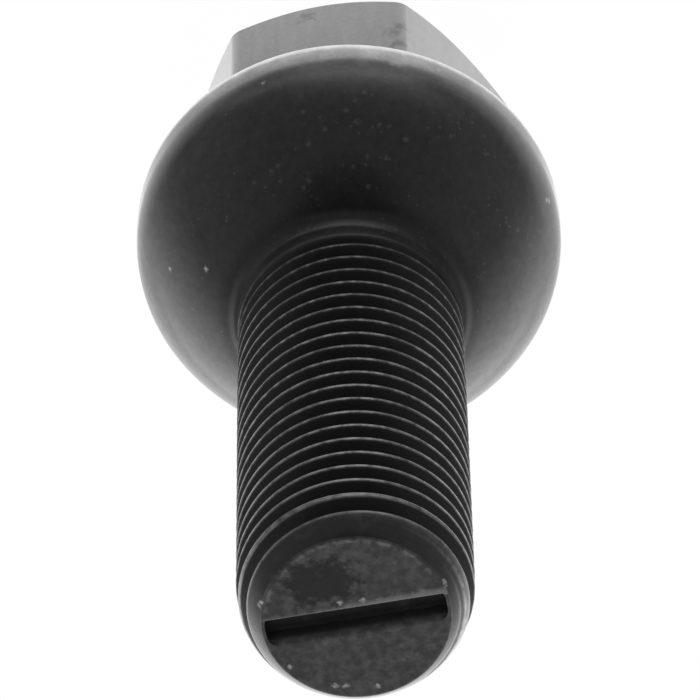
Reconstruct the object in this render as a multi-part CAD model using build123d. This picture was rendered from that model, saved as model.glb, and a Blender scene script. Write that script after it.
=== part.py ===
from build123d import *

import os
from math import radians, sqrt, tan

# A forged wheel bolt, standing on the flat top of its hexagon head with the threaded end up.
# The axis is Z, and the origin is the middle of the flat top of the head.
# Two flats of the hexagon face along Y. The shank is drawn at the major diameter of its thread.

# Hexagon head
hex_across_flats = 19.0
hex_height = 13.2
hex_corner_radius = 0.8
hex_root_radius = 0.5

# Crown, which takes the corners off the top of the head: a cone and a rounded shoulder
crown_flat_diameter = 17.2
crown_slope = 45.0
crown_shoulder_radius = 0.8

# Collar with its ball seat
collar_diameter = 26.8
rim_height = 2.9
rim_back_radius = 0.4
seat_radius = 14.0

# Shank and its rounded end
thread_diameter = 14.0
shank_length = 34.0
neck_radius = 1.6
end_diameter = 11.0
end_round_radius = 4.4

# Slot across the end face
slot_width = 1.4
slot_depth = 1.0
slot_end_wall = 0.15
slot_turn = -1.3

# Sizes that follow from the driving ones
crown_flat_radius = crown_flat_diameter / 2
rim_radius = collar_diameter / 2
shank_radius = thread_diameter / 2
end_radius = end_diameter / 2
rim_top = hex_height + rim_height

# The ledge behind the collar, outside the hexagon's corners, limits the roundings on its two edges.
ledge_width = rim_radius - hex_across_flats / sqrt(3)
ledge_rounding = ledge_width / 3
root_radius = min(hex_root_radius, ledge_rounding)
back_radius = min(rim_back_radius, ledge_rounding)

# The ball of the seat passes through the top edge of the rim.
# Where the rim is wider than the ball, the ball stands on it at its widest circle.
seat_centre = rim_top - sqrt(max(seat_radius**2 - rim_radius**2, 0))
seat_corner = seat_centre + sqrt(seat_radius**2 - shank_radius**2)
end_height = seat_corner + shank_length
end_round_axis = shank_radius - end_round_radius
end_round_start = end_height - sqrt(end_round_radius**2 - (end_radius - end_round_axis) ** 2)
slot_length = end_diameter - 2 * slot_end_wall


def arc_about(centre, start, end):
    """Shorter arc about a centre, from one point of its circle to another."""
    middle = Vector(*centre)
    start_arm = Vector(*start) - middle
    end_arm = Vector(*end) - middle
    halfway = middle + (start_arm + end_arm).normalized() * start_arm.length
    return ThreePointArc(start, halfway, end)


def rounded(profile, roundings):
    """Profile with each named corner, given as a point and a radius, rounded."""
    for corner, radius in roundings:
        vertex = profile.vertices().sort_by_distance(Vector(*corner))[0]
        profile = fillet(vertex, radius)
    return profile


def turned(profile):
    """Solid made by turning a profile about the axis, with X outwards and Y along it."""
    return revolve(Plane.XZ * profile, Axis.Z)


def hexagon_head():
    """Hexagon prism under its crown, reaching up into the collar."""
    outline = RegularPolygon(hex_across_flats / 2, 6, major_radius=False)
    outline = fillet(outline.vertices(), hex_corner_radius)
    prism = extrude(outline, rim_top)
    cone_reach = hex_across_flats
    cone_rise = (cone_reach - crown_flat_radius) * tan(radians(crown_slope))
    flat_edge = (crown_flat_radius, 0)
    crown_outline = Polyline(
        (0, 0),
        flat_edge,
        (cone_reach, cone_rise),
        (cone_reach, cone_rise + rim_top),
        (0, cone_rise + rim_top),
        close=True,
    )
    crown = rounded(make_face(crown_outline), [(flat_edge, crown_shoulder_radius)])
    return prism & turned(crown)


def shank_profile():
    """Half section of the shank, from inside the collar to its rounded end."""
    foot = (shank_radius, rim_top)
    round_start = (shank_radius, end_round_start)
    end_edge = (end_radius, end_height)
    outline = [
        Line((0, rim_top), foot),
        Line(foot, round_start),
        arc_about((end_round_axis, end_round_start), round_start, end_edge),
        Line(end_edge, (0, end_height)),
        Line((0, end_height), (0, rim_top)),
    ]
    return make_face(outline)


def collar_and_shank():
    """Collar, ball seat, shank and rounded end, turned from one profile."""
    corner = (Align.MIN, Align.MIN)
    rim = Pos(0, hex_height) * Rectangle(rim_radius, rim_height, align=corner)
    above_rim = Pos(0, rim_top) * Rectangle(rim_radius, 2 * seat_radius, align=corner)
    seat = above_rim & Pos(0, seat_centre) * Circle(seat_radius)
    roundings = [
        ((rim_radius, hex_height), back_radius),
        ((shank_radius, seat_corner), neck_radius),
    ]
    return turned(rounded(rim + seat + shank_profile(), roundings))


def end_slot():
    """Cutter for the closed slot across the end face."""
    outline = SlotOverall(slot_length, slot_width, rotation=slot_turn)
    return extrude(Pos(0, 0, end_height) * outline, -slot_depth)


def wheel_bolt():
    """The whole bolt as one solid."""
    bolt = hexagon_head() + collar_and_shank()
    level_faces = bolt.faces().filter_by(Axis.Z)
    ledge = level_faces.sort_by(lambda face: abs(face.center().Z - hex_height))[0]
    bolt = fillet(ledge.inner_wires()[0].edges(), root_radius)
    return bolt - end_slot()


os.makedirs("parts", exist_ok=True)
export_step(wheel_bolt(), "parts/wheel_bolt.step")
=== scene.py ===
import logging
from contextlib import contextmanager
from dataclasses import dataclass, field
from enum import Enum
from functools import reduce
from math import atan2, cos, degrees, hypot, pi, radians, sin, sqrt, tan
from typing import Any, Callable, Iterator, Sequence, Union

import bmesh
import bpy
from mathutils import Matrix, Vector


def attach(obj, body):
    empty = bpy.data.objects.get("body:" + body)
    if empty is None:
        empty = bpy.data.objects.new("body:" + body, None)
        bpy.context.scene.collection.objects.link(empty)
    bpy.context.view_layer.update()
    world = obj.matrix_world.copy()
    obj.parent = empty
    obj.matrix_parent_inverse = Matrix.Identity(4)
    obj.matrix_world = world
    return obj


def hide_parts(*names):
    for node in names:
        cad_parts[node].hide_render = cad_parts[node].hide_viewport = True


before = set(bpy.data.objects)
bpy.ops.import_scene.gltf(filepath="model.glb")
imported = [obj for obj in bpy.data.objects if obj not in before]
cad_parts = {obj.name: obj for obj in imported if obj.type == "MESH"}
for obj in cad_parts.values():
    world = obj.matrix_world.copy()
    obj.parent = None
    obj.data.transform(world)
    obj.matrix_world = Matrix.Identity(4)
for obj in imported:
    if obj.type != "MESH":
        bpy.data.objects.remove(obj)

# Lengths are held in millimetres and go to Blender through MM. The bolt stands on its head, and its
# axis is Z. A Point of a half section is a distance from the axis and a height, and a Band is the two
# numbers between which a share rises from 0 to 1.

MM = 0.001
WELD = 2e-7
LEVEL = 0.01
TURN_STEPS = 128
NOISE_MEAN = 0.5

Point = tuple[float, float]
Place = tuple[float, float, float]
Colour = tuple[float, float, float, float]
Band = tuple[float, float]

BLACK: Colour = (0, 0, 0, 1)
WHITE: Colour = (1, 1, 1, 1)

log = logging.getLogger("wheel_bolt")


def arc(centre: Point, radius: float, start: float, end: float, steps: int) -> list[Point]:
    """Draws an arc of a half section.

    Args:
        centre: Middle of the arc.
        radius: Radius of the arc.
        start: Angle of its first point, in degrees from outwards towards up.
        end: Angle of its last point.
        steps: Number of edges along it.

    Returns:
        The points along the arc, both ends among them.
    """
    angles = [radians(start + (end - start) * step / steps) for step in range(steps + 1)]
    return [(centre[0] + radius * cos(angle), centre[1] + radius * sin(angle)) for angle in angles]


def smooth_step(low: float, high: float, value: float) -> float:
    """Rises smoothly from 0 at low to 1 at high."""
    share = min(max((value - low) / (high - low), 0.0), 1.0)
    return share * share * (3 - 2 * share)


class Pick(Enum):
    """What a selection in edit mode is made of."""

    VERTICES = "VERT"
    EDGES = "EDGE"
    FACES = "FACE"


class Cut(Enum):
    """Ways in which one mesh is worked with another."""

    JOIN = "UNION"
    REMOVE = "DIFFERENCE"
    KEEP_COMMON = "INTERSECT"


class Bench:
    """One mesh on the bench, shaped with Blender's own operators."""

    def __init__(self, body: bpy.types.Object) -> None:
        """Takes a mesh object onto the bench."""
        self.body = body

    @staticmethod
    def clear() -> None:
        """Leaves edit mode and deselects everything."""
        if bpy.context.mode != "OBJECT":
            bpy.ops.object.mode_set(mode="OBJECT")
        bpy.ops.object.select_all(action="DESELECT")

    @classmethod
    def take_new(cls, name: str) -> "Bench":
        """Takes the primitive that was just added, with its place put into its mesh.

        Args:
            name: Name that the object gets.

        Returns:
            The bench with that object on it.
        """
        body = bpy.context.active_object
        body.name = name
        bpy.ops.object.transform_apply(location=True, rotation=True, scale=True)
        return cls(body)

    @classmethod
    def wire(cls, name: str, outline: Sequence[Point]) -> "Bench":
        """Draws a half section as a chain of edges, by extruding one vertex from point to point.

        Args:
            name: Name that the object gets.
            outline: Points of the half section in order.

        Returns:
            The bench with the chain of edges on it.
        """
        cls.clear()
        start = Vector((outline[0][0], 0, outline[0][1])) * MM
        bpy.ops.mesh.primitive_plane_add(size=MM, location=start)
        bench = cls.take_new(name)
        with bench.editing():
            bpy.ops.mesh.merge(type="CENTER")
            for before, after in zip(outline, outline[1:]):
                step = Vector((after[0] - before[0], 0, after[1] - before[1])) * MM
                bpy.ops.mesh.extrude_region_move(TRANSFORM_OT_translate={"value": step})
        return bench

    @classmethod
    def turned(cls, name: str, outline: Sequence[Point]) -> "Bench":
        """Turns a half section about the axis and closes its two ends with flat discs.

        Args:
            name: Name that the object gets.
            outline: Points of the half section in order.

        Returns:
            The bench with the turned mesh on it.
        """
        bench = cls.wire(name, outline)
        bench.sweep()
        with bench.editing():
            for _, height in (outline[0], outline[-1]):
                bench.pick(Pick.EDGES, lambda edge: edge.is_boundary and bench.is_level(edge, height))
                bpy.ops.mesh.edge_face_add()
            bpy.ops.mesh.select_all(action="SELECT")
            bpy.ops.mesh.normals_make_consistent(inside=False)
        return bench

    def choose(self) -> None:
        """Selects this mesh alone and makes it the active one."""
        self.clear()
        self.body.select_set(True)
        bpy.context.view_layer.objects.active = self.body

    @contextmanager
    def editing(self) -> Iterator[None]:
        """Opens edit mode on this mesh alone, with all of it selected.

        Returns:
            The context in which the mesh is edited.
        """
        self.choose()
        bpy.ops.object.mode_set(mode="EDIT")
        bpy.ops.mesh.select_mode(type=Pick.VERTICES.value)
        bpy.ops.mesh.select_all(action="SELECT")
        yield
        bpy.ops.object.mode_set(mode="OBJECT")

    def pick(self, kind: Pick, test: Callable[[Any], bool]) -> int:
        """Selects in edit mode the elements that pass a test.

        Args:
            kind: What to select.
            test: Test of one vertex, edge or face.

        Returns:
            The number of elements that were selected.
        """
        bpy.ops.mesh.select_all(action="DESELECT")
        bpy.ops.mesh.select_mode(type=kind.value)
        mesh = bmesh.from_edit_mesh(self.body.data)
        elements = {Pick.VERTICES: mesh.verts, Pick.EDGES: mesh.edges, Pick.FACES: mesh.faces}[kind]
        chosen = [element for element in elements if test(element)]
        for element in chosen:
            element.select_set(True)
        bmesh.update_edit_mesh(self.body.data)
        return len(chosen)

    @staticmethod
    def is_level(edge: bmesh.types.BMEdge, height: float) -> bool:
        """Tells whether an edge lies at a height."""
        return all(abs(vertex.co.z / MM - height) < LEVEL for vertex in edge.verts)

    def modify(self, kind: str, **settings: Any) -> None:
        """Adds a modifier with its settings and applies it.

        Args:
            kind: Blender's name for the modifier.
            settings: Values of the modifier's properties.
        """
        self.choose()
        modifier = self.body.modifiers.new(kind.lower(), kind)
        for name, value in settings.items():
            setattr(modifier, name, value)
        bpy.ops.object.modifier_apply(modifier=modifier.name)

    def sweep(self, pitch: float = 0.0, turns: int = 1) -> None:
        """Sweeps a chain of edges round the axis, in the same order of faces in each run.

        Args:
            pitch: Rise in each turn.
            turns: Number of turns.
        """
        self.modify(
            "SCREW",
            axis="Z",
            angle=2 * pi,
            screw_offset=pitch * MM,
            iterations=turns,
            steps=TURN_STEPS,
            render_steps=TURN_STEPS,
            use_merge_vertices=False,
            use_normal_calculate=True,
        )

    def work_with(self, tool: "Bench", cut: Cut) -> None:
        """Works this mesh with another one, which is used up.

        Args:
            tool: The other mesh.
            cut: What is done with it.
        """
        self.modify("BOOLEAN", object=tool.body, operation=cut.value, solver="EXACT")
        bpy.data.objects.remove(tool.body)

    def turn(self, angle: float) -> None:
        """Turns the mesh about the axis.

        Args:
            angle: Angle in degrees.
        """
        self.choose()
        self.body.rotation_euler.z = radians(angle)
        bpy.ops.object.transform_apply(location=False, rotation=True, scale=False)

    def weigh(self, name: str, weight: Callable[[Vector], float]) -> str:
        """Gives each vertex a weight in a vertex group.

        Args:
            name: Name of the group.
            weight: Weight of a vertex from its place in millimetres.

        Returns:
            The name of the group.
        """
        group = self.body.vertex_groups.new(name=name)
        for vertex in self.body.data.vertices:
            group.add([vertex.index], weight(vertex.co / MM), "REPLACE")
        return group.name

    def take_in(self, other: "Bench") -> None:
        """Joins another mesh into this one as loose faces.

        Args:
            other: The other mesh, which is used up.
        """
        self.choose()
        other.body.select_set(True)
        bpy.ops.object.join()


class Value:
    """A number in a shader, on which Python's operators add Math nodes."""

    def __init__(self, desk: "NodeDesk", socket: bpy.types.NodeSocket) -> None:
        """Wraps an output socket that gives a number."""
        self.desk = desk
        self.socket = socket

    def math(self, operation: str, *terms: "Number") -> "Value":
        """Adds a Math node.

        Args:
            operation: Blender's name for the operation.
            terms: What goes into the node, in order.

        Returns:
            The node's result.
        """
        node = self.desk.node("ShaderNodeMath", {"operation": operation}, dict(enumerate(terms)))
        return Value(self.desk, node.outputs[0])

    def __add__(self, other: "Number") -> "Value":
        """Adds a number."""
        return self.math("ADD", self, other)

    def __radd__(self, other: "Number") -> "Value":
        """Is added to a number."""
        return self.math("ADD", other, self)

    def __sub__(self, other: "Number") -> "Value":
        """Takes a number away."""
        return self.math("SUBTRACT", self, other)

    def __rsub__(self, other: "Number") -> "Value":
        """Is taken away from a number."""
        return self.math("SUBTRACT", other, self)

    def __mul__(self, other: "Number") -> "Value":
        """Multiplies by a number."""
        return self.math("MULTIPLY", self, other)

    def __rmul__(self, other: "Number") -> "Value":
        """Multiplies a number."""
        return self.math("MULTIPLY", other, self)

    def __truediv__(self, other: "Number") -> "Value":
        """Divides by a number."""
        return self.math("DIVIDE", self, other)

    def __pow__(self, other: "Number") -> "Value":
        """Raises to a power."""
        return self.math("POWER", self, other)

    def root(self) -> "Value":
        """Takes the square root."""
        return self.math("SQRT", self)

    def rounded(self) -> "Value":
        """Takes the nearest whole number."""
        return self.math("ROUND", self)

    def size(self) -> "Value":
        """Takes the number without its sign."""
        return self.math("ABSOLUTE", self)

    def at_most(self, other: "Number") -> "Value":
        """Takes the smaller of two numbers."""
        return self.math("MINIMUM", self, other)

    def at_least(self, other: "Number") -> "Value":
        """Takes the larger of two numbers."""
        return self.math("MAXIMUM", self, other)

    def swing(self, width: float) -> "Value":
        """Swings about 0 by a width, as a noise does about its mean."""
        return (self - NOISE_MEAN) * width

    def over(self, band: Band, start: float = 0.0) -> "Value":
        """Rises smoothly from 0 to 1 over a band that is counted from a start."""
        return self.rise(start + band[0], start + band[1])

    def rise(self, low: float, high: float) -> "Value":
        """Rises smoothly from 0 at low to 1 at high.

        Args:
            low: Number at and under which the result is 0.
            high: Number at and over which the result is 1.

        Returns:
            The share between the two.
        """
        node = self.desk.node(
            "ShaderNodeMapRange",
            {"interpolation_type": "SMOOTHSTEP"},
            {"Value": self, "From Min": low, "From Max": high},
        )
        return Value(self.desk, node.outputs[0])


Number = Union[Value, float]
Feed = Union[Value, bpy.types.NodeSocket, float, Sequence[float]]


class NodeDesk:
    """Lays out the nodes of one material or world."""

    def __init__(self, tree: bpy.types.NodeTree) -> None:
        """Takes a node tree and clears it."""
        self.tree = tree
        tree.nodes.clear()

    def node(
        self,
        kind: str,
        settings: dict[str, Any] | None = None,
        sockets: dict[str | int, Feed] | None = None,
    ) -> bpy.types.Node:
        """Adds a node.

        Args:
            kind: Blender's name for the node's type.
            settings: Properties of the node, which are set first.
            sockets: Values or links of its inputs, by name or number.

        Returns:
            The new node.
        """
        node = self.tree.nodes.new(kind)
        for name, value in (settings or {}).items():
            setattr(node, name, value)
        for key, feed in (sockets or {}).items():
            self.feed(node.inputs[key], feed)
        return node

    def feed(self, socket: bpy.types.NodeSocket, feed: Feed) -> None:
        """Links a socket or sets its value.

        Args:
            socket: The input that is fed.
            feed: A value, a socket, a number or the parts of a colour or vector.
        """
        if isinstance(feed, Value):
            feed = feed.socket
        if isinstance(feed, bpy.types.NodeSocket):
            self.tree.links.new(feed, socket)
        else:
            socket.default_value = feed

    def blend(self, share: Number, first: Feed, second: Feed) -> bpy.types.NodeSocket:
        """Mixes two colours.

        Args:
            share: Share of the second colour.
            first: The first colour.
            second: The second colour.

        Returns:
            The mixed colour.
        """
        sockets = {0: share, 6: first, 7: second}
        return self.node("ShaderNodeMix", {"data_type": "RGBA"}, sockets).outputs[2]

    def stretch(self, place: bpy.types.NodeSocket, scale: Sequence[float]) -> bpy.types.NodeSocket:
        """Scales a place along its three axes."""
        settings = {"operation": "MULTIPLY"}
        return self.node("ShaderNodeVectorMath", settings, {0: place, 1: scale}).outputs[0]

    def shaded(self, colour: bpy.types.NodeSocket, shade: Value) -> bpy.types.NodeSocket:
        """Makes a colour lighter or darker by a factor."""
        sockets = {0: colour, "Scale": shade}
        return self.node("ShaderNodeVectorMath", {"operation": "SCALE"}, sockets).outputs[0]

    def noise(self, place: bpy.types.NodeSocket, scale: float, detail: float) -> Value:
        """Adds a noise and takes its number."""
        sockets = {"Vector": place, "Scale": scale, "Detail": detail}
        return Value(self, self.node("ShaderNodeTexNoise", None, sockets).outputs["Fac"])

    def place(self) -> bpy.types.NodeSocket:
        """Takes the place on the object in millimetres."""
        return self.stretch(self.node("ShaderNodeTexCoord").outputs["Object"], (1 / MM,) * 3)

    def glow(self, colour: bpy.types.NodeSocket) -> bpy.types.NodeSocket:
        """Adds a shader that shines in a colour."""
        return self.node("ShaderNodeEmission", None, {"Color": colour, "Strength": 1.0}).outputs[0]

    def parts(self, place: bpy.types.NodeSocket) -> tuple[Value, Value, Value]:
        """Splits a place into its three numbers."""
        split = self.node("ShaderNodeSeparateXYZ", None, {0: place})
        return tuple(Value(self, output) for output in split.outputs)

    def rays(self) -> tuple[Value, Value]:
        """Tells where a ray comes from.

        Returns:
            Whether it comes from the camera, and whether from a glossy or see-through surface.
        """
        path = self.node("ShaderNodeLightPath")
        names = ("Is Camera Ray", "Is Glossy Ray", "Is Transmission Ray")
        camera, glossy, through = (Value(self, path.outputs[name]) for name in names)
        return camera, glossy.at_least(through)


@dataclass
class HexHead:
    """Hexagon head with its crown, standing on its flat top."""

    across_flats: float = 19.0
    height: float = 13.2
    reach: float = 1.5
    corner_radius: float = 0.8
    crown_flat_diameter: float = 17.2
    crown_slope: float = 45.0
    shoulder_radius: float = 0.8
    edge_break: float = 0.12
    corner_steps: int = 8
    shoulder_steps: int = 8
    edge_steps: int = 2
    crown_edge_angle: float = 28.0

    def prism(self) -> Bench:
        """Builds the hexagon with its rounded corners, reaching up into the collar.

        Returns:
            The bench with the prism on it.
        """
        Bench.clear()
        depth = self.height + self.reach
        bpy.ops.mesh.primitive_cylinder_add(
            vertices=6,
            radius=self.across_flats / sqrt(3) * MM,
            depth=depth * MM,
            location=(0, 0, depth / 2 * MM),
            rotation=(0, 0, radians(30)),
        )
        bench = Bench.take_new("hexagon")
        with bench.editing():
            bench.pick(Pick.EDGES, lambda edge: abs(edge.verts[0].co.z - edge.verts[1].co.z) > MM)
            set_back = self.corner_radius * tan(radians(30)) * MM
            bpy.ops.mesh.bevel(offset=set_back, segments=self.corner_steps, affect="EDGES")
        return bench

    def crown(self) -> Bench:
        """Builds the turned form that takes the corners off the top of the head.

        Returns:
            The bench with the crown on it.
        """
        slope = radians(self.crown_slope)
        flat_radius = self.crown_flat_diameter / 2
        set_back = self.shoulder_radius * tan(slope / 2)
        centre = (flat_radius - set_back, self.shoulder_radius)
        reach = self.across_flats
        cone_top = (reach - flat_radius) * tan(slope)
        outline = arc(centre, self.shoulder_radius, -90, -90 + self.crown_slope, self.shoulder_steps)
        outline += [(reach, cone_top), (reach, cone_top + self.height + self.reach)]
        return Bench.turned("crown", outline)

    def build(self) -> Bench:
        """Builds the head.

        Returns:
            The bench with the closed head on it.
        """
        bench = self.prism()
        bench.work_with(self.crown(), Cut.KEEP_COMMON)
        with bench.editing():
            bench.pick(Pick.EDGES, self.is_crown_edge)
            bpy.ops.mesh.remove_doubles(threshold=self.edge_break / 2 * MM)
            bench.pick(Pick.EDGES, self.is_crown_edge)
            bpy.ops.mesh.bevel(offset=self.edge_break * MM, segments=self.edge_steps, affect="EDGES")
        return bench

    def is_crown_edge(self, edge: bmesh.types.BMEdge) -> bool:
        """Tells whether an edge lies where the crown meets the sides of the hexagon."""
        low = max(vertex.co.z for vertex in edge.verts) < self.height / 2 * MM
        return low and len(edge.link_faces) == 2 and edge.calc_face_angle() > radians(self.crown_edge_angle)


@dataclass
class BallCollar:
    """Collar with its rim and ball seat, up to the neck under the thread."""

    diameter: float = 26.8
    back: float = 13.2
    rim_height: float = 2.9
    back_radius: float = 0.4
    shoulder_radius: float = 6.0
    seat_radius: float = 14.0
    shank_radius: float = 7.0
    neck_radius: float = 1.6
    root_radius: float = 0.5
    back_steps: int = 8
    shoulder_steps: int = 8
    seat_steps: int = 26
    neck_steps: int = 10
    root_steps: int = 4
    root_edge_angle: float = 60.0

    @property
    def rim_radius(self) -> float:
        """Radius of the rim."""
        return self.diameter / 2

    @property
    def rim_top(self) -> float:
        """Height at which the rim passes into the seat."""
        return self.back + self.rim_height

    @property
    def seat_centre(self) -> float:
        """Height of the middle of the ball."""
        return self.rim_top - sqrt(self.seat_radius**2 - self.rim_radius**2)

    @property
    def neck_top(self) -> float:
        """Height at which the neck's hollow passes into the shank."""
        across = self.shank_radius + self.neck_radius
        return self.seat_centre + sqrt((self.seat_radius + self.neck_radius) ** 2 - across**2)

    def outline(self) -> list[Point]:
        """Draws the half section from the back of the collar to the neck.

        Returns:
            The points of the half section in order.
        """
        inset = self.rim_radius - self.shoulder_radius
        shoulder_rise = sqrt((self.seat_radius - self.shoulder_radius) ** 2 - inset**2)
        seat_start = degrees(atan2(shoulder_rise, inset))
        neck_reach = self.shank_radius + self.neck_radius
        seat_end = degrees(atan2(self.neck_top - self.seat_centre, neck_reach))
        back_centre = (self.rim_radius - self.back_radius, self.back + self.back_radius)
        shoulder_centre = (inset, self.seat_centre + shoulder_rise)
        neck_centre = (neck_reach, self.neck_top)
        ball_centre = (0.0, self.seat_centre)
        points = arc(back_centre, self.back_radius, -90, 0, self.back_steps)
        points += arc(shoulder_centre, self.shoulder_radius, 0, seat_start, self.shoulder_steps)
        points += arc(ball_centre, self.seat_radius, seat_start, seat_end, self.seat_steps)[1:]
        return points + arc(neck_centre, self.neck_radius, 180 + seat_end, 180, self.neck_steps)[1:]

    def build(self, head: HexHead) -> Bench:
        """Builds the collar on its head, open where the shank goes on.

        Args:
            head: The head that the collar stands on.

        Returns:
            The bench with head and collar in one mesh.
        """
        bench = Bench.turned("collar", self.outline())
        bench.work_with(head.build(), Cut.JOIN)
        with bench.editing():
            bench.pick(Pick.EDGES, self.is_root_edge)
            bpy.ops.mesh.bevel(offset=self.root_radius * MM, segments=self.root_steps, affect="EDGES")
            bench.pick(Pick.FACES, self.is_neck_cover)
            bpy.ops.mesh.delete(type="FACE")
        return bench

    def is_root_edge(self, edge: bmesh.types.BMEdge) -> bool:
        """Tells whether an edge lies where the hexagon runs into the back of the collar."""
        level = Bench.is_level(edge, self.back)
        return level and len(edge.link_faces) == 2 and edge.calc_face_angle() > radians(self.root_edge_angle)

    def is_neck_cover(self, face: bmesh.types.BMFace) -> bool:
        """Tells whether a face belongs to the disc that covers the neck."""
        return all(vertex.co.z / MM > self.neck_top - LEVEL for vertex in face.verts)


@dataclass
class RoundedEnd:
    """Half section of the shank's rounded end, which the thread and the end face share."""

    shank_radius: float = 7.0
    face_radius: float = 5.5
    height: float = 58.17
    round_radius: float = 4.4
    edge_radius: float = 0.25
    seam_angle: float = 39.0
    seam_gap: float = 0.07
    edge_steps: int = 6
    seam_steps: int = 5

    @property
    def round_axis(self) -> float:
        """Distance from the axis to the middle of the rounding."""
        return self.shank_radius - self.round_radius

    @property
    def round_start(self) -> float:
        """Height at which the rounding starts."""
        across = self.face_radius - self.round_axis
        return self.height - sqrt(self.round_radius**2 - across**2)

    @property
    def seam(self) -> float:
        """Height at which the thread's wall meets the end face's edge."""
        return self.round_start + self.round_radius * sin(radians(self.seam_angle))

    def reach_at(self, height: float) -> float:
        """Distance from the axis to the rounded shank at a height."""
        past = min(max(height - self.round_start, 0), self.round_radius)
        return self.round_axis + sqrt(self.round_radius**2 - past**2)

    def rounding(self, start: float, end: float, steps: int) -> list[Point]:
        """Draws a stretch of the rounding, between two angles in degrees."""
        return arc((self.round_axis, self.round_start), self.round_radius, start, end, steps)

    def edge(self) -> list[Point]:
        """Draws the broken edge of the end face, from the face to the seam.

        Returns:
            The points of the edge in order.
        """
        rise = self.height - self.edge_radius - self.round_start
        across = sqrt((self.round_radius - self.edge_radius) ** 2 - rise**2)
        centre = (self.round_axis + across, self.height - self.edge_radius)
        angle = degrees(atan2(rise, across))
        points = arc(centre, self.edge_radius, 90, angle, self.edge_steps)
        return points + self.rounding(angle, self.seam_angle, self.seam_steps)[1:]


@dataclass
class RolledThread:
    """Right-hand rolled thread, fading out at the neck and on the rounded end."""

    tip: RoundedEnd = field(default_factory=RoundedEnd)
    pitch: float = 1.5
    depth: float = 0.92
    crest_width: float = 0.24
    root_width: float = 0.22
    flank_steps: int = 5
    flank_ease: Point = (0.045, 0.025)
    root_ease: Point = (0.012, 0.035)
    crest_shoulder: Point = (0.008, 0.02)
    foot: float = 25.1
    run_out_start: float = 25.9
    run_out_end: float = 26.9
    crest_height: float = 54.15
    crest_bearing: float = -100.564
    lead_in_start: float = 55.4
    lead_in_full: float = 56.2
    crest_ease: float = 0.1

    @property
    def flank_slope(self) -> float:
        """How far a flank comes in for each millimetre along the axis."""
        return self.depth / (self.pitch / 2 - self.root_width / 2 - self.crest_width / 2)

    def section(self) -> list[Point]:
        """Draws one pitch of the thread, from root to root, with its crest at height 0.

        Returns:
            The points of the pitch in order.
        """
        crest = self.tip.shank_radius
        root = crest - self.depth
        half_crest = self.crest_width / 2
        half_root = self.pitch / 2 - self.root_width / 2
        inwards, along = self.flank_ease
        flank_top = Vector((crest - inwards, -half_crest - along))
        flank_foot = Vector((root + inwards, -half_root + along))
        side = [(root, -self.pitch / 2), (root + self.root_ease[0], -half_root - self.root_ease[1])]
        for step in range(self.flank_steps + 1):
            side.append(tuple(flank_foot.lerp(flank_top, step / self.flank_steps)))
        side.append((crest - self.crest_shoulder[0], -half_crest + self.crest_shoulder[1]))
        return side + [(crest, 0.0)] + [(reach, -height) for reach, height in reversed(side)]

    def build(self) -> Bench:
        """Builds the threaded wall of the shank, open at both ends.

        Returns:
            The bench with the wall on it.
        """
        turns_below = int((self.crest_height - self.foot) / self.pitch) + 2
        turns_above = int((self.tip.height - self.crest_height) / self.pitch) + 3
        first = self.crest_height - turns_below * self.pitch - self.crest_bearing / 360 * self.pitch
        bench = Bench.wire("thread", [(reach, first + height) for reach, height in self.section()])
        bench.sweep(self.pitch, turns_below + turns_above)
        with bench.editing():
            bpy.ops.mesh.remove_doubles(threshold=WELD)
        self.fade_at_neck(bench)
        self.fade_at_end(bench)
        with bench.editing():
            bpy.ops.mesh.normals_make_consistent(inside=False)
        return bench

    def fade_at_neck(self, bench: Bench) -> None:
        """Lets the grooves run out to the plain shank over the neck and trims the wall there.

        Args:
            bench: The bench with the wall on it.
        """
        group = bench.weigh(
            "run_out", lambda place: 1 - smooth_step(self.run_out_start, self.run_out_end, place.z)
        )
        bench.modify(
            "CAST",
            cast_type="CYLINDER",
            use_z=False,
            factor=1.0,
            size=self.tip.shank_radius * MM,
            use_radius_as_size=False,
            vertex_group=group,
        )
        with bench.editing():
            bpy.ops.mesh.bisect(
                plane_co=(0, 0, self.foot * MM), plane_no=(0, 0, 1), clear_inner=True, threshold=WELD
            )

    def fade_at_end(self, bench: Bench) -> None:
        """Holds the crests inside the rounded blank, eases their edges there and trims the wall.

        Args:
            bench: The bench with the wall on it.
        """
        for vertex in bench.body.data.vertices:
            height = vertex.co.z / MM
            reach = hypot(vertex.co.x, vertex.co.y) / MM
            ease = self.crest_ease * smooth_step(self.tip.round_start, self.lead_in_start, height)
            vertex.co.xy *= self.held_in(reach, self.tip.reach_at(height), ease) / reach
        group = bench.weigh(
            "lead_in", lambda place: smooth_step(self.lead_in_start, self.lead_in_full, place.z)
        )
        bench.modify("SMOOTH", factor=0.5, iterations=2, vertex_group=group)
        with bench.editing():
            bpy.ops.mesh.bisect(
                plane_co=(0, 0, (self.tip.seam - self.tip.seam_gap) * MM),
                plane_no=(0, 0, 1),
                clear_outer=True,
                threshold=WELD,
            )

    @staticmethod
    def held_in(reach: float, limit: float, ease: float) -> float:
        """Holds a distance from the axis under a limit, with a soft passage to it.

        Args:
            reach: Distance from the axis.
            limit: The most that it may be.
            ease: How far from the limit the soft passage starts.

        Returns:
            The distance, which near the limit is a little less than both.
        """
        overlap = max(ease - abs(reach - limit), 0)
        return min(reach, limit) - (overlap**2 / ease / 4 if overlap else 0)


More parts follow.
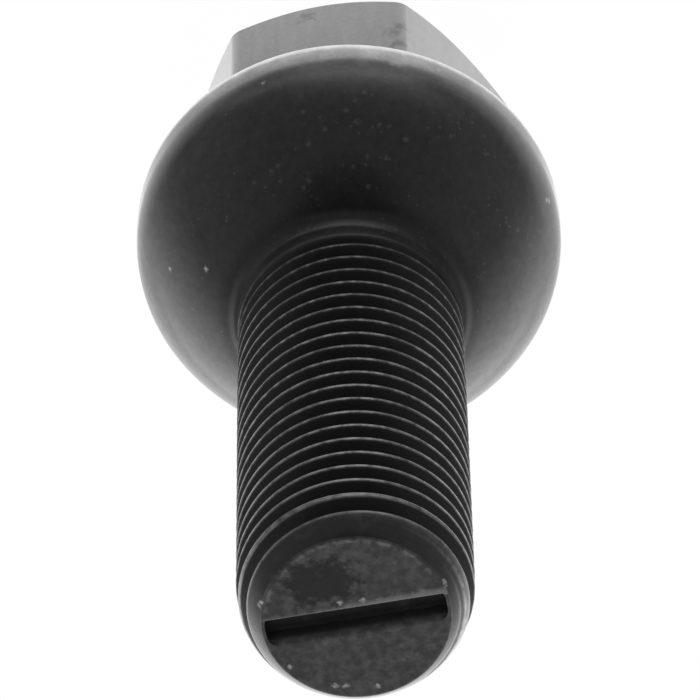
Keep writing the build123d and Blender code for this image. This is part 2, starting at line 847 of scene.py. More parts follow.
@dataclass
class SlottedEnd:
    """End face of the shank with its closed slot."""

    tip: RoundedEnd = field(default_factory=RoundedEnd)
    slot_width: float = 1.4
    slot_depth: float = 1.0
    slot_length: float = 10.7
    slot_turn: float = -1.3
    slot_corner: float = 0.8
    near_edge: float = 0.14
    far_edge: float = 0.45
    near_steps: int = 6
    far_steps: int = 8
    corner_steps: int = 6

    def build(self) -> Bench:
        """Builds the end face with its slot, open at its edge.

        Returns:
            The bench with the end face on it.
        """
        underside = self.tip.height - 2 * self.slot_depth
        outline = self.tip.edge()
        outline.append((outline[-1][0], underside))
        bench = Bench.turned("end_face", outline)
        bench.work_with(self.slot(), Cut.REMOVE)
        with bench.editing():
            bench.pick(Pick.FACES, lambda face: any(v.co.z / MM < underside + LEVEL for v in face.verts))
            bpy.ops.mesh.delete(type="FACE")
        return bench

    def slot(self) -> Bench:
        """Builds the cutter of the slot, which widens at the top and so rounds its two long edges.

        Returns:
            The bench with the cutter on it.
        """
        half, top = self.slot_width / 2, self.tip.height
        near = arc((half + self.near_edge, top - self.near_edge), self.near_edge, 180, 90, self.near_steps)
        far = arc((-half - self.far_edge, top - self.far_edge), self.far_edge, 90, 0, self.far_steps)
        outline = [(half, top - self.slot_depth)] + near
        outline += [(near[-1][0], top + self.slot_depth), (far[0][0], top + self.slot_depth)]
        bench = Bench.wire("slot", outline + far + [(-half, top - self.slot_depth)])
        with bench.editing():
            bpy.ops.mesh.edge_face_add()
        bench.modify("SOLIDIFY", thickness=2 * self.slot_length * MM, offset=0.0)
        with bench.editing():
            bpy.ops.mesh.normals_make_consistent(inside=False)
        bench.work_with(self.slot_ends(), Cut.KEEP_COMMON)
        bench.turn(self.slot_turn - 90)
        return bench

    def slot_ends(self) -> Bench:
        """Builds the block with rounded corners that ends the slot.

        Returns:
            The bench with the block on it.
        """
        Bench.clear()
        width = self.slot_width + 2 * self.far_edge
        bpy.ops.mesh.primitive_cube_add(
            size=1,
            location=(0, 0, self.tip.height * MM),
            scale=Vector((width, self.slot_length, 4 * self.slot_depth)) * MM,
        )
        bench = Bench.take_new("slot_ends")
        with bench.editing():
            bench.pick(Pick.EDGES, lambda edge: abs(edge.verts[0].co.z - edge.verts[1].co.z) > MM)
            bpy.ops.mesh.bevel(offset=self.slot_corner * MM, segments=self.corner_steps, affect="EDGES")
        return bench


@dataclass
class WheelBolt:
    """The whole bolt as one closed skin."""

    head: HexHead = field(default_factory=HexHead)
    collar: BallCollar = field(default_factory=BallCollar)
    thread: RolledThread = field(default_factory=RolledThread)
    end: SlottedEnd = field(default_factory=SlottedEnd)
    seam_reach: float = 0.25
    smooth_angle: float = 32.0

    def build(self) -> bpy.types.Object:
        """Builds the bolt.

        Returns:
            The finished mesh object.
        """
        bench = self.collar.build(self.head)
        log.info("head and collar: %d faces", len(bench.body.data.polygons))
        thread = self.thread.build()
        log.info("thread: %d faces", len(thread.body.data.polygons))
        bench.take_in(thread)
        bench.take_in(self.end.build())
        with bench.editing():
            for seam in (self.thread.foot, self.end.tip.seam):
                bench.pick(Pick.EDGES, lambda edge: edge.is_boundary and self.is_near(edge, seam))
                bpy.ops.mesh.bridge_edge_loops()
            bpy.ops.mesh.select_all(action="SELECT")
            bpy.ops.mesh.normals_make_consistent(inside=False)
        bench.choose()
        bpy.ops.object.shade_smooth_by_angle(angle=radians(self.smooth_angle))
        bench.modify("WEIGHTED_NORMAL", mode="FACE_AREA", keep_sharp=True)
        bench.body.name = "wheel_bolt_finished"
        return bench.body

    def is_near(self, edge: bmesh.types.BMEdge, height: float) -> bool:
        """Tells whether an edge lies within the seam's reach of a height."""
        return all(abs(vertex.co.z / MM - height) < self.seam_reach for vertex in edge.verts)


@dataclass(frozen=True)
class Marks:
    """Marks of one kind at named places: full up to inner, gone from outer, with a ragged outline."""

    places: tuple[Place, ...]
    inner: float
    outer: float
    ragged: float
    strength: float = 1.0


@dataclass(frozen=True)
class Flecks:
    """Flecks strewn at random: places to each millimetre, share of them in use, and radius."""

    scale: float
    share: float
    size: float


@dataclass
class BoltZones:
    """Zones of the bolt's surface, as shares in a shader that follow from the place on the bolt.

    A Band of a height or a reach is counted from the size of the bolt that its zone starts from.
    """

    desk: NodeDesk
    bolt: WheelBolt
    streak_stretch: Place = (1.6, 1.6, 0.25)
    head_end: Band = (-0.05, 0.05)
    # Rim: wear with a painted highlight; these numbers set how its share fades.
    rim_wander: float = 1.6
    rim_middle: float = -6.0
    rim_side_lift: float = 0.1
    rim_back_lift: float = 0.12
    rim_lift: float = 1.0
    rim_fade: Band = (-0.35, 0.8)
    spread_height: Band = (-1.0, 3.6)
    spread_front: Band = (-11.0, -4.0)
    spread_side: Band = (-3.5, 1.5)
    spread_side_loss: float = 0.8
    spread_share: float = 0.2
    edge_height: Band = (0.45, 0.9)
    edge_reach: Band = (-0.5, -0.3)
    thread_start: Band = (0.3, 1.1)
    thread_end: Band = (0.0, 0.5)
    neck_start: Band = (-1.9, -1.2)
    neck_end: Band = (0.6, 1.1)
    neck_sides_start: Band = (-1.4, -0.6)
    neck_sides_end: Band = (0.8, 1.8)
    neck_sides_across: Band = (3.5, 6.5)
    crest_worn: Band = (-0.09, -0.02)
    crest_groove: Band = (0.2, 0.7)
    crests_start: Band = (0.0, 0.4)
    crests_end: Band = (0.9, 1.2)
    face_flat: Band = (-0.09, -0.03)
    face_inner: Band = (-0.6, -0.35)
    face_slot_edges: Band = (-0.42, -0.02)
    slot_end: Band = (0.0, 0.05)
    slot_mouth: Band = (0.02, 0.42)
    slot_floor: Band = (0.02, 0.1)
    slot_far_wall: Band = (0.3, 0.68)
    scuff_start: Band = (0.3, 0.9)
    scuff_cover: Band = (0.5, 0.8)
    dry_start: Band = (0.0, 0.3)
    dry_across: Band = (1.0, 4.5)
    dry_front: Band = (-3.0, 1.0)
    burr_inner: Band = (-0.36, -0.26)
    burr_outer: Band = (-0.14, -0.04)
    burr_height: Band = (-0.3, -0.2)
    burr_broken: Band = (0.38, 0.68)
    burr_front: Band = (-2.0, 2.0)
    lip_narrowing: Band = (-3.0, 3.0)
    lip_ragged: float = 0.57
    lip_outline: Band = (-0.646, -0.19)
    lip_edge: Band = (0.0, 0.1)
    lip_fade: Band = (-2.0, 4.0)
    lip_fade_loss: float = 0.75
    fleck_inner: float = 0.3
    seat_start: Band = (-0.8, 0.0)
    seat_end: Band = (-0.1, 0.9)
    dust_height: Band = (0.5, 5.5)
    dust_clouds: Band = (0.42, 0.72)

    def __post_init__(self) -> None:
        """Lays out the place on the bolt in millimetres and the noises that the zones share."""
        desk = self.desk
        self.place = desk.place()
        self.x, self.y, self.z = desk.parts(self.place)
        self.reach = (self.x * self.x + self.y * self.y).root()
        self.cloud = desk.noise(self.place, scale=0.3, detail=3.0)
        self.mottle = desk.noise(self.place, scale=0.9, detail=5.0)
        self.patches = desk.noise(self.place, scale=2.0, detail=4.0)
        self.grain = desk.noise(self.place, scale=5.0, detail=3.0)
        self.streaks = desk.noise(desk.stretch(self.place, self.streak_stretch), scale=1.0, detail=4.0)

    def head(self) -> Value:
        """Hexagon head, under the collar."""
        return 1 - self.z.over(self.head_end, self.bolt.collar.back)

    def rim(self) -> Value:
        """Rim of the collar, worn and painted with a highlight, lightest along its back and round -Y, with a
        little of both up the seat.

        Returns:
            The share of the wear and the painted highlight.
        """
        collar = self.bolt.collar
        # Wear with a painted highlight over it: the share fades upwards, away from x = rim_middle and
        # towards +Y.
        uneven = self.z + self.cloud.swing(self.rim_wander) + self.mottle.swing(self.rim_wander)
        uneven = uneven + (self.x - self.rim_middle).size() * self.rim_side_lift
        uneven = uneven + self.y * self.rim_back_lift + self.rim_lift
        worn = 1 - uneven.rise(collar.back + self.rim_fade[0], collar.rim_top + self.rim_fade[1])
        spread = 1 - uneven.over(self.spread_height, collar.rim_top)
        front = 1 - self.y.over(self.spread_front)
        side = 1 - self.x.over(self.spread_side) * self.spread_side_loss
        return worn.at_least(spread * front * side * self.spread_share) * (1 - self.head())

    def back_edge(self) -> Value:
        """Edge behind the rim, worn bare and made near white as a painted highlight."""
        low = 1 - self.z.over(self.edge_height, self.bolt.collar.back)
        return low * self.reach.over(self.edge_reach, self.bolt.collar.rim_radius)

    def thread(self) -> Value:
        """Grooves of the thread, which are rough and are coloured darker as painted shade."""
        upper = 1 - self.z.over(self.thread_end, self.bolt.thread.lead_in_full)
        return self.z.over(self.thread_start, self.bolt.collar.neck_top) * upper

    def neck(self) -> Value:
        """Hollow of the neck, coloured darker as painted shade and left with less oil."""
        top = self.bolt.collar.neck_top
        return self.z.over(self.neck_start, top) * (1 - self.z.over(self.neck_end, top))

    def neck_sides(self) -> Value:
        """Neck on its two sides, which is roughest.

        Returns:
            The share of the two sides.
        """
        top = self.bolt.collar.neck_top
        hollow = self.z.over(self.neck_sides_start, top) * (1 - self.z.over(self.neck_sides_end, top))
        return hollow * self.x.size().over(self.neck_sides_across)

    def blank(self) -> Value:
        """Distance from the axis to the plain shank and its rounded end, at the height of the place.

        Returns:
            The distance in millimetres.
        """
        tip = self.bolt.end.tip
        past = (self.z - tip.round_start).at_least(0.0).at_most(tip.round_radius)
        return tip.round_axis + (tip.round_radius**2 - past * past).root()

    def crests(self) -> Value:
        """Crests of the thread and the lip of its last groove, which are worn bare and carry painted
        highlights.

        Returns:
            The share of the crests.
        """
        thread, blank = self.bolt.thread, self.blank()
        turns = self.y.math("ARCTAN2", self.y, self.x) / (2 * pi) - thread.crest_bearing / 360
        pitches = (self.z - thread.crest_height) / thread.pitch - turns
        from_crest = (pitches - pitches.rounded()).size() * thread.pitch
        fall = (from_crest - thread.crest_width / 2).at_least(0.0) * thread.flank_slope
        near_groove = 1 - (thread.tip.shank_radius - fall - blank).over(self.crest_groove)
        start = self.z.over(self.crests_start, thread.run_out_start)
        end = 1 - self.z.over(self.crests_end, thread.lead_in_full)
        return (self.reach - blank).over(self.crest_worn) * near_groove * start * end

    def end_face(self) -> Value:
        """Flat end face, where the blank was cut off, with the soft edges of its slot.

        Returns:
            The share of the end face.
        """
        tip = self.bolt.end.tip
        inner = 1 - self.reach.over(self.face_inner, tip.face_radius)
        slot_edges = self.z.over(self.face_slot_edges, tip.height) * inner
        return self.z.over(self.face_flat, tip.height).at_least(slot_edges)

    def slot(self) -> Value:
        """Floor and walls of the slot, which are dry and are coloured darker as painted shade.

        Returns:
            The share of the slot.
        """
        end = self.bolt.end
        inner = 1 - self.reach.over(self.slot_end, end.slot_length / 2)
        depth = end.tip.height - self.z
        return inner * depth.over(self.slot_mouth) * (1 - depth.over(self.slot_floor, end.slot_depth))

    def across_slot(self) -> Value:
        """Distance from the middle line of the slot, towards +Y."""
        return self.y - self.x * tan(radians(self.bolt.end.slot_turn))

    def slot_far_side(self) -> Value:
        """Side of the slot towards +Y, whose wall is painted lighter."""
        return self.across_slot().over(self.slot_far_wall)

    def lead_in(self) -> Value:
        """Scuffs between the last groove and the end face."""
        past_groove = self.z.over(self.scuff_start, self.bolt.thread.lead_in_full)
        return past_groove * (1 - self.end_face()) * self.mottle.over(self.scuff_cover)

    def lead_in_side(self) -> Value:
        """Side towards +X of the stretch between the last groove and the end face, which is drier."""
        past_groove = self.z.over(self.dry_start, self.bolt.thread.lead_in_full)
        return past_groove * self.x.over(self.dry_across) * (1 - self.y.over(self.dry_front))

    def face_burr(self) -> Value:
        """Broken burr round the end face.

        Returns:
            The share of the burr.
        """
        tip = self.bolt.end.tip
        ring = self.reach.over(self.burr_inner, tip.face_radius)
        ring = ring * (1 - self.reach.over(self.burr_outer, tip.face_radius))
        broken = self.patches.over(self.burr_broken) * (1 - self.y.over(self.burr_front))
        return ring * self.z.over(self.burr_height, tip.height) * broken

    def slot_lip_highlight(self) -> Value:
        """Lip along the slot's edge towards -Y, wider towards -X, painted light as a highlight.

        Returns:
            The share of the lip.
        """
        across = self.across_slot() + self.bolt.end.slot_width / 2
        narrowed = across * (1 + self.x.over(self.lip_narrowing))
        lip = (narrowed + self.patches.swing(self.lip_ragged)).over(self.lip_outline)
        fade = 1 - self.x.over(self.lip_fade) * self.lip_fade_loss
        return lip * (1 - across.over(self.lip_edge)) * fade * self.end_face()

    def distance(self, place: Place) -> Value:
        """Distance from a named place."""
        node = self.desk.node("ShaderNodeVectorMath", {"operation": "DISTANCE"}, {0: self.place, 1: place})
        return Value(self.desk, node.outputs["Value"])

    def marks(self, kind: Marks, noise: Value) -> Value:
        """Marks at named places.

        Args:
            kind: The marks.
            noise: The noise that makes their outlines ragged.

        Returns:
            The share of the marks.
        """
        nearest = reduce(Value.at_most, map(self.distance, kind.places))
        return (1 - (nearest + noise.swing(kind.ragged)).rise(kind.inner, kind.outer)) * kind.strength

    def flecks(self, kind: Flecks) -> Value:
        """Small flecks strewn over the surface.

        Args:
            kind: The flecks.

        Returns:
            The share of the flecks.
        """
        cells = self.desk.node("ShaderNodeTexVoronoi", None, {"Vector": self.place, "Scale": kind.scale})
        chance = self.desk.parts(cells.outputs["Color"])[0]
        away = Value(self.desk, cells.outputs["Distance"]) / kind.scale + self.grain.swing(kind.size)
        near = 1 - away.rise(self.fleck_inner * kind.size, kind.size)
        return near * chance.rise(1 - kind.share, 1 - kind.share / 2)

    def seat(self) -> Value:
        """Ball seat, from the rim to the neck."""
        above = self.z.over(self.seat_end, self.bolt.thread.foot)
        return self.z.over(self.seat_start, self.bolt.collar.rim_top) * (1 - above)

    def dust(self) -> Value:
        """Pale dust in clouds on the seat near the rim."""
        low = 1 - self.z.over(self.dust_height, self.bolt.collar.rim_top)
        return self.mottle.over(self.dust_clouds) * low * self.seat()


@dataclass(frozen=True)
class Wear:
    """Shares of the worn zones and of the zones with painted light and shade, which the colour, roughness,
    oil and relief have in common.
    """

    head: Value
    rim: Value
    edge: Value
    crests: Value
    thread: Value
    neck_sides: Value
    slot: Value
    pressed: Value
    cut: Value
    bare: Value
    # Painted shade in the thread's grooves and the neck's hollow, together with the real pressed patch.
    dark: Value


@dataclass(frozen=True)
class BlackPhosphate:
    """Oiled black phosphate on forged steel, worn thin on the head, bare on edges and crests with painted
    highlights there, and painted shade in its hollows.
    """

    coat: Colour = (0.05, 0.05, 0.051, 1)
    # Painted shade for the grooves and the neck, also the colour of the pressed patch.
    groove_shade_and_pressed: Colour = (0.038, 0.038, 0.038, 1)
    worn: Colour = (0.206, 0.206, 0.208, 1)
    # Rim wear with a painted highlight.
    rubbed_and_highlight: Colour = (0.57, 0.57, 0.574, 1)
    crest: Colour = (0.1, 0.1, 0.101, 1)
    crest_painted_highlight: Colour = (0.45, 0.45, 0.452, 1)
    # Near white for the painted highlights on the collar's back edge and on the nicks.
    bright: Colour = (0.95, 0.95, 0.95, 1)
    sheared: Colour = (0.105, 0.105, 0.106, 1)
    scuffed: Colour = (0.2, 0.2, 0.201, 1)
    # Pale flecks, spots, burr and scuffs, and the painted highlight on the slot's lip.
    pale: Colour = (0.45, 0.45, 0.45, 1)
    dust: Colour = (0.2, 0.2, 0.2, 1)
    # Painted shade in the slot, with its far wall painted lighter.
    slot_shade: Colour = (0.028, 0.028, 0.028, 1)
    slot_far_wall_light: Colour = (0.1, 0.1, 0.1, 1)
    coat_roughness: float = 0.21
    worn_roughness: float = 0.33
    sheared_roughness: float = 0.5
    groove_roughness: float = 0.4
    neck_roughness: float = 0.8
    roughness_swing: float = 0.25
    index: float = 1.5
    oil: float = 0.8
    oil_least: float = 0.35
    oil_mottle: float = 0.6
    oil_patches: float = 0.7
    oil_roughness: float = 0.15
    dry: float = 0.75
    lead_in_dry: float = 0.6
    tone_least: float = 0.8
    streak_limit: float = 0.75
    streak_strength: float = 0.4
    grain_swing: float = 0.4
    seat_swing: float = 0.7
    # Painted glints on the crests, growing towards the end of the bolt.
    crest_painted_glint: Band = (0.7, 1.2)
    glint_climb: float = 0.01
    dust_share: float = 0.15
    scuffs: Band = (0.35, 0.7)
    burr_share: float = 0.6
    lead_in_share: float = 0.15
    grain_height: float = 0.004
    cut_mottle_height: float = 0.03
    cut_patch_height: float = 0.02
    large_flecks: Flecks = Flecks(1.1, 0.8, 0.2)
    small_flecks: Flecks = Flecks(2.2, 0.6, 0.14)
    fleck_clusters: Band = (0.45, 0.65)
    fleck_least: float = 0.04
    fleck_more: float = 0.2
    cut_flecks: Flecks = Flecks(1.4, 0.3, 0.2)
    cut_fleck_share: float = 0.3
    pressed: Marks = Marks(((0.9, -2.9, 58.17), (2.1, -2.9, 58.17)), 1.0, 2.0, 2.4)
    rubs: Marks = Marks(
        ((-8.0, -10.8, 14.4), (-7.4, -11.2, 14.6), (-5.5, -12.2, 15.2)), 0.0, 1.2, 1.4, strength=0.75
    )
    smudges: Marks = Marks(
        ((-5.0, -9.5, 6.2), (-5.3, -9.4, 5.6), (-5.2, -9.4, 7.7), (0.7, -9.5, 2.1)),
        0.0,
        0.9,
        2.4,
        strength=0.45,
    )
    spots: Marks = Marks(
        (
            (-4.03, -10.75, 20.06),
            (0.40, -10.83, 20.91),
            (-3.05, -9.68, 21.69),
            (-4.21, -9.26, 21.67),
            (-5.50, -9.66, 20.55),
            (-2.83, -8.26, 22.99),
            (1.10, -8.89, 22.80),
            (0.72, -9.19, 22.58),
            (-2.14, -11.77, 19.31),
            (-2.66, -11.22, 19.98),
            (-0.73, -11.27, 20.32),
            (0.48, -12.10, 19.08),
            (-3.39, -12.14, 18.14),
            (2.78, -13.05, 16.27),
            (2.50, -10.00, 21.52),
            (3.00, -9.74, 21.65),
        ),
        0.03,
        0.26,
        0.5,
        strength=0.25,
    )
    # Small nicks, painted near white as highlights on them.
    highlighted_nicks: Marks = Marks(
        (
            (8.26, -4.26, 22.51),
            (10.75, -3.46, 20.32),
            (-13.0, -1.57, 16.94),
            (-13.03, -1.4, 16.8),
            (-12.95, -1.65, 17.1),
            (2.8, -13.05, 16.2),
            (-0.3, 4.9, 58.17),
            (1.5, 4.5, 58.17),
            (2.15, 4.4, 58.17),
            (4.45, 2.55, 58.17),
            (0.7, -1.2, 58.17),
            (-0.6, -1.15, 58.17),
            (5.3, -1.9, 58.0),
            (5.2, -2.1, 58.0),
            (-5.45, -1.1, 58.0),
            (-5.4, -1.3, 58.0),
        ),
        0.0,
        0.24,
        0.5,
    )

    def wear(self, zones: BoltZones) -> Wear:
        """Works out the worn zones and the zones with painted light and shade.

        Args:
            zones: Zones of the bolt's surface.

        Returns:
            Their shares.
        """
        head, edge, crests, thread = zones.head(), zones.back_edge(), zones.crests(), zones.thread()
        rim = zones.rim().at_least(zones.marks(self.rubs, zones.patches))
        end = zones.end_face()
        pressed = zones.marks(self.pressed, zones.patches) * end
        return Wear(
            head=head,
            rim=rim,
            edge=edge,
            crests=crests,
            thread=thread,
            neck_sides=zones.neck_sides(),
            slot=zones.slot(),
            pressed=pressed,
            cut=end * (1 - pressed),
            bare=head.at_least(rim).at_least(crests).at_least(edge),
            dark=thread.at_least(zones.neck()).at_least(pressed),
        )

    def light_marks(self, zones: BoltZones, wear: Wear) -> Value:
        """Works out the pale marks: flecks, spots, the burr, scuffs and the painted highlight on the lip of
        the slot.

        Args:
            zones: Zones of the bolt's surface.
            wear: Shares of the worn zones.

        Returns:
            The share of the marks.
        """
        flecks = zones.flecks(self.large_flecks).at_least(zones.flecks(self.small_flecks)) * zones.seat()
        flecks = flecks * (self.fleck_least + zones.cloud.over(self.fleck_clusters) * self.fleck_more)
        kinds = [
            flecks,
            zones.marks(self.spots, zones.grain),
            zones.flecks(self.cut_flecks) * wear.cut * self.cut_fleck_share,
            zones.face_burr() * self.burr_share,
            zones.lead_in() * self.lead_in_share,
            # Painted highlight on the slot's lip.
            zones.slot_lip_highlight(),
        ]
        return reduce(Value.at_least, kinds)

    def tone(self, zones: BoltZones, wear: Wear) -> Value:
        """Works out how much lighter or darker the colour is from place to place.

        Args:
            zones: Zones of the bolt's surface.
            wear: Shares of the worn zones.

        Returns:
            The factor on the colour.
        """
        tone = self.tone_least + zones.streaks.at_most(self.streak_limit) * self.streak_strength
        tone = tone + zones.grain.swing(self.grain_swing)
        tone = tone + zones.patches.swing(self.seat_swing) * zones.seat()
        return tone * (1 - zones.marks(self.smudges, zones.patches) * wear.head)

    def colour(self, zones: BoltZones, wear: Wear) -> bpy.types.NodeSocket:
        """Lays the colours of the zones over one another.

        Args:
            zones: Zones of the bolt's surface.
            wear: Shares of the worn zones.

        Returns:
            The colour.
        """
        desk = zones.desk
        # Painted highlights on the crests, more of them towards the end.
        crest_painted_glint = (zones.patches + zones.z * self.glint_climb).over(self.crest_painted_glint)
        layers = [
            # Painted shade in the slot, painted lighter on its far wall.
            (wear.slot, desk.blend(zones.slot_far_side(), self.slot_shade, self.slot_far_wall_light)),
            (wear.head, self.worn),
            # Rim wear with a painted highlight.
            (wear.rim, self.rubbed_and_highlight),
            (wear.crests, desk.blend(crest_painted_glint, self.crest, self.crest_painted_highlight)),
            # Painted highlight along the worn back edge of the collar.
            (wear.edge, self.bright),
            (zones.dust() * self.dust_share, self.dust),
            (wear.cut, desk.blend(zones.patches.over(self.scuffs), self.sheared, self.scuffed)),
            (self.light_marks(zones, wear), self.pale),
        ]
        # Painted shade in the grooves and the neck, and the pressed patch.
        colour = desk.blend(wear.dark, self.coat, self.groove_shade_and_pressed)
        for share, layer in layers:
            colour = desk.blend(share, colour, layer)
        colour = desk.shaded(colour, self.tone(zones, wear))
        # Nicks painted near white as highlights.
        return desk.blend(zones.marks(self.highlighted_nicks, zones.grain), colour, self.bright)

    def roughness(self, zones: BoltZones, wear: Wear) -> Value:
        """Works out how rough the surface is.

        Args:
            zones: Zones of the bolt's surface.
            wear: Shares of the worn zones.

        Returns:
            The roughness.
        """
        covered = 1 - wear.bare
        grooves = wear.thread.at_least(wear.pressed).at_least(wear.slot)
        layers = [
            (wear.bare, self.worn_roughness),
            (wear.cut, self.sheared_roughness),
            (grooves * covered, self.groove_roughness),
            (wear.neck_sides * covered, self.neck_roughness),
        ]
        roughness = self.coat_roughness + zones.mottle.swing(self.roughness_swing)
        for share, value in layers:
            roughness = roughness + share * (value - self.coat_roughness)
        return roughness

    def film(self, zones: BoltZones, wear: Wear) -> Value:
        """Works out how much oil is left on the coat.

        Args:
            zones: Zones of the bolt's surface.
            wear: Shares of the worn zones.

        Returns:
            The weight of the oil film.
        """
        oil = self.oil * (self.oil_least + zones.mottle * self.oil_mottle + zones.patches * self.oil_patches)
        dry = (wear.dark * self.dry).at_least(wear.slot).at_least(wear.neck_sides)
        dry = dry.at_least(zones.lead_in_side() * self.lead_in_dry)
        return oil * (1 - wear.cut) * (1 - dry)

    def relief(self, zones: BoltZones, wear: Wear) -> bpy.types.NodeSocket:
        """Works out the fine relief, which is deepest where the blank was cut off.

        Args:
            zones: Zones of the bolt's surface.
            wear: Shares of the worn zones.

        Returns:
            The normal.
        """
        cut_height = zones.mottle * self.cut_mottle_height + zones.patches * self.cut_patch_height
        height = zones.grain * self.grain_height + cut_height * wear.cut
        sockets = {"Strength": 1.0, "Distance": MM, "Height": height}
        return zones.desk.node("ShaderNodeBump", None, sockets).outputs[0]

    def material(self, bolt: WheelBolt) -> bpy.types.Material:
        """Makes the material of the bolt.

        Args:
            bolt: The bolt whose sizes place the worn zones.

        Returns:
            The material.
        """
        material = bpy.data.materials.new("black_phosphate")
        material.use_nodes = True
        desk = NodeDesk(material.node_tree)
        zones = BoltZones(desk, bolt)
        wear = self.wear(zones)
        sockets = {
            "Base Color": self.colour(zones, wear),
            "Metallic": wear.bare,
            "Roughness": self.roughness(zones, wear),
            "IOR": self.index,
            "Coat Weight": self.film(zones, wear),
            "Coat Roughness": self.oil_roughness,
            "Normal": self.relief(zones, wear),
        }
        shader = desk.node("ShaderNodeBsdfPrincipled", None, sockets)
        desk.node("ShaderNodeOutputMaterial", None, {"Surface": shader.outputs[0]})
        return material


@dataclass(frozen=True)
class WhiteBoard:
    """Matt white board that the bolt stands on, which glows for mirrored rays in a painted pool of light, as
    if lit from behind.
    """

    colour: Colour = (0.95, 0.95, 0.95, 1)
    fill: Colour = (0.8, 0.8, 0.8, 1)
    shown_white: float = 0.85
    # Painted light and shade that the bolt mirrors from the board.
    near_light: Colour = (1.25, 1.25, 1.25, 1)
    far_light: Colour = (0.8, 0.8, 0.8, 1)
    front_light: Colour = (0.17, 0.17, 0.17, 1)
    far_out: Band = (18.0, 27.0)
    far_side_start: float = 10.0
    far_side_gain: float = 0.6
    lit_along: Band = (-38.0, 0.0)
    side_start: float = 19.0
    side_falloff: float = 0.6
    lit_round: Band = (17.0, 42.0)
    round_side_falloff: float = 2.0
    dim_side: Band = (0.0, 14.0)
    dim_side_loss: float = 0.5
    ring_inner: Band = (14.0, 19.0)
    ring_outer: Band = (21.0, 27.0)
    ring_share: float = 0.85

    def mirrored_light(self, desk: NodeDesk) -> bpy.types.NodeSocket:
        """Grades the painted light that the bolt mirrors from the board, with painted shade in front of the
        bolt.

        Args:
            desk: Desk of the board's material.

        Returns:
            The light as a colour.
        """
        x, y, _ = desk.parts(desk.place())
        reach = (x * x + y * y).root()
        past_side = (x.size() - self.side_start).at_least(0.0)
        lit = (y - past_side * self.side_falloff).over(self.lit_along)
        lit_round = (reach - past_side * self.round_side_falloff).over(self.lit_round)
        lit = lit.at_least(lit_round * (1 - x.over(self.dim_side) * self.dim_side_loss))
        ring = reach.over(self.ring_inner) * (1 - reach.over(self.ring_outer)) * self.ring_share
        out = reach + (x.size() - self.far_side_start).at_least(0.0) * self.far_side_gain
        light = desk.blend(out.over(self.far_out), self.near_light, self.far_light)
        return desk.blend(lit.at_least(ring), self.front_light, light)

    def material(self) -> bpy.types.Material:
        """Makes the board's material, which shows white with a soft shadow.

        Returns:
            The material.
        """
        material = bpy.data.materials.new("white_board")
        material.use_nodes = True
        desk = NodeDesk(material.node_tree)
        camera, mirrored = desk.rays()
        matt = desk.node("ShaderNodeBsdfDiffuse", None, {"Color": self.colour})
        fill = desk.glow(desk.blend(camera, BLACK, self.fill))
        filled = desk.node("ShaderNodeAddShader", None, {0: matt.outputs[0], 1: fill})
        white = desk.glow(desk.blend(camera, self.mirrored_light(desk), WHITE))
        share = mirrored.at_least(camera * self.shown_white)
        mixed = desk.node("ShaderNodeMixShader", None, {0: share, 1: filled.outputs[0], 2: white})
        desk.node("ShaderNodeOutputMaterial", None, {"Surface": mixed.outputs[0]})
        return material


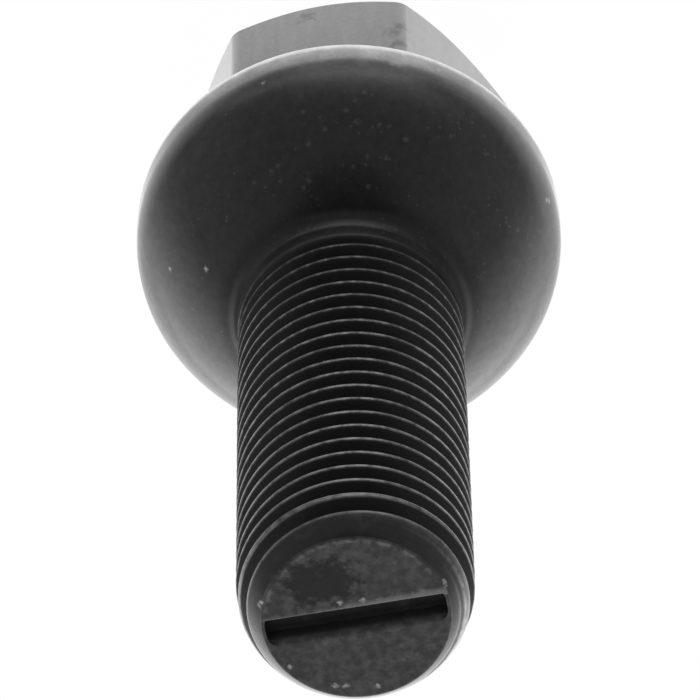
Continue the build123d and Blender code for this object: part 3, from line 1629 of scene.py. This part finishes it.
@dataclass(frozen=True)
class Studio:
    """White board, a room that is bright behind the bolt, and the photograph's camera."""

    photo_width: int = 700
    focal_pixels: float = 7200.0
    aim: Place = (0.0634, -0.0118, 28.1282)
    distance: float = 443.441
    elevation: float = 58.814
    azimuth: float = -10.564
    roll: float = -178.916
    sensor: float = 36.0
    clip_start: float = 10.0
    board: WhiteBoard = WhiteBoard()
    board_radius: float = 48.0
    board_sides: int = 96
    bright: Colour = (1.05, 1.05, 1.05, 1)
    dim: Colour = (0.24, 0.24, 0.24, 1)
    shade: Colour = (0.16, 0.16, 0.16, 1)
    dark: Colour = (0.02, 0.02, 0.02, 1)
    low_front: Colour = (0.65, 0.65, 0.65, 1)
    low_back: Colour = (1.25, 1.25, 1.25, 1)
    dim_elevation: float = 36.0
    horizon: Band = (-0.25, 0.05)
    dim_facing: Band = (-0.72, 0.12)
    shade_facing: Band = (0.2, 0.9)
    low_end: Band = (-0.45, -0.1)
    low_ahead: Band = (0.5, 1.0)
    low_side: Band = (0.0, 0.35)
    low_side_loss: float = 0.7
    dark_facing: Band = (0.8, 0.98)

    def camera(self) -> None:
        """Sets the camera at the place that was fitted to the photograph."""
        tilt, turn, roll = radians(self.elevation), radians(self.azimuth), radians(self.roll)
        back = Vector((sin(turn) * cos(tilt), -cos(turn) * cos(tilt), sin(tilt)))
        level_up = (Vector((0, 0, 1)) - back * back.z).normalized()
        level_right = level_up.cross(back)
        up = level_up * cos(roll) + level_right * sin(roll)
        right = up.cross(back)
        place = (Vector(self.aim) + back * self.distance) * MM
        data = bpy.data.cameras.new("camera")
        data.sensor_width = self.sensor
        data.lens = self.sensor * self.focal_pixels / self.photo_width
        data.clip_start = self.clip_start * MM
        camera = bpy.data.objects.new("camera", data)
        bpy.context.scene.collection.objects.link(camera)
        camera.matrix_world = Matrix.Translation(place) @ Matrix((right, up, back)).transposed().to_4x4()
        bpy.context.scene.camera = camera

    def floor(self) -> bpy.types.Object:
        """Lays the board that the bolt stands on.

        Returns:
            The board.
        """
        Bench.clear()
        bpy.ops.mesh.primitive_circle_add(
            vertices=self.board_sides, radius=self.board_radius * MM, fill_type="NGON"
        )
        bench = Bench.take_new("board")
        bench.body.data.materials.append(self.board.material())
        return bench.body

    def surroundings(self) -> None:
        """Sets the white backdrop that rays from the camera see, and the room that lights the bolt."""
        world = bpy.data.worlds.new("room")
        world.use_nodes = True
        bpy.context.scene.world = world
        desk = NodeDesk(world.node_tree)
        x, y, z = desk.parts(desk.node("ShaderNodeTexCoord").outputs["Generated"])
        side, lift, tilt = radians(self.azimuth), radians(self.dim_elevation), radians(self.elevation)
        ahead = x * sin(side) - y * cos(side)
        facing = ahead * cos(lift) + z.at_least(0.0) * sin(lift)
        low = (1 - z.over(self.low_end)) * ahead.over(self.low_ahead)
        low = low * (1 - x.over(self.low_side) * self.low_side_loss)
        towards_camera = ahead * cos(tilt) + z * sin(tilt)
        room = desk.blend(z.over(self.horizon), self.low_back, self.bright)
        room = desk.blend(facing.over(self.dim_facing), room, self.dim)
        room = desk.blend(facing.over(self.shade_facing), room, self.shade)
        room = desk.blend(low, room, self.low_front)
        room = desk.blend(towards_camera.over(self.dark_facing), room, self.dark)
        shown = desk.blend(desk.rays()[0], room, WHITE)
        light = desk.node("ShaderNodeBackground", None, {"Color": shown, "Strength": 1.0})
        desk.node("ShaderNodeOutputWorld", None, {"Surface": light.outputs[0]})


def main() -> None:
    """Builds and dresses the bolt, then sets the studio around it."""
    logging.basicConfig(level=logging.INFO, format="%(name)s: %(message)s")
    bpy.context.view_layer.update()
    bolt = WheelBolt()
    skin = bolt.build()
    skin.data.materials.clear()
    skin.data.materials.append(BlackPhosphate().material(bolt))
    log.info("%s: %d faces", skin.name, len(skin.data.polygons))
    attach(skin, "root")
    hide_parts("wheel_bolt")
    studio = Studio()
    studio.floor()
    studio.surroundings()
    studio.camera()
    log.info("studio: board, room and camera")
    bpy.context.scene.view_settings.view_transform = "Standard"


if __name__ == "__main__":
    main()
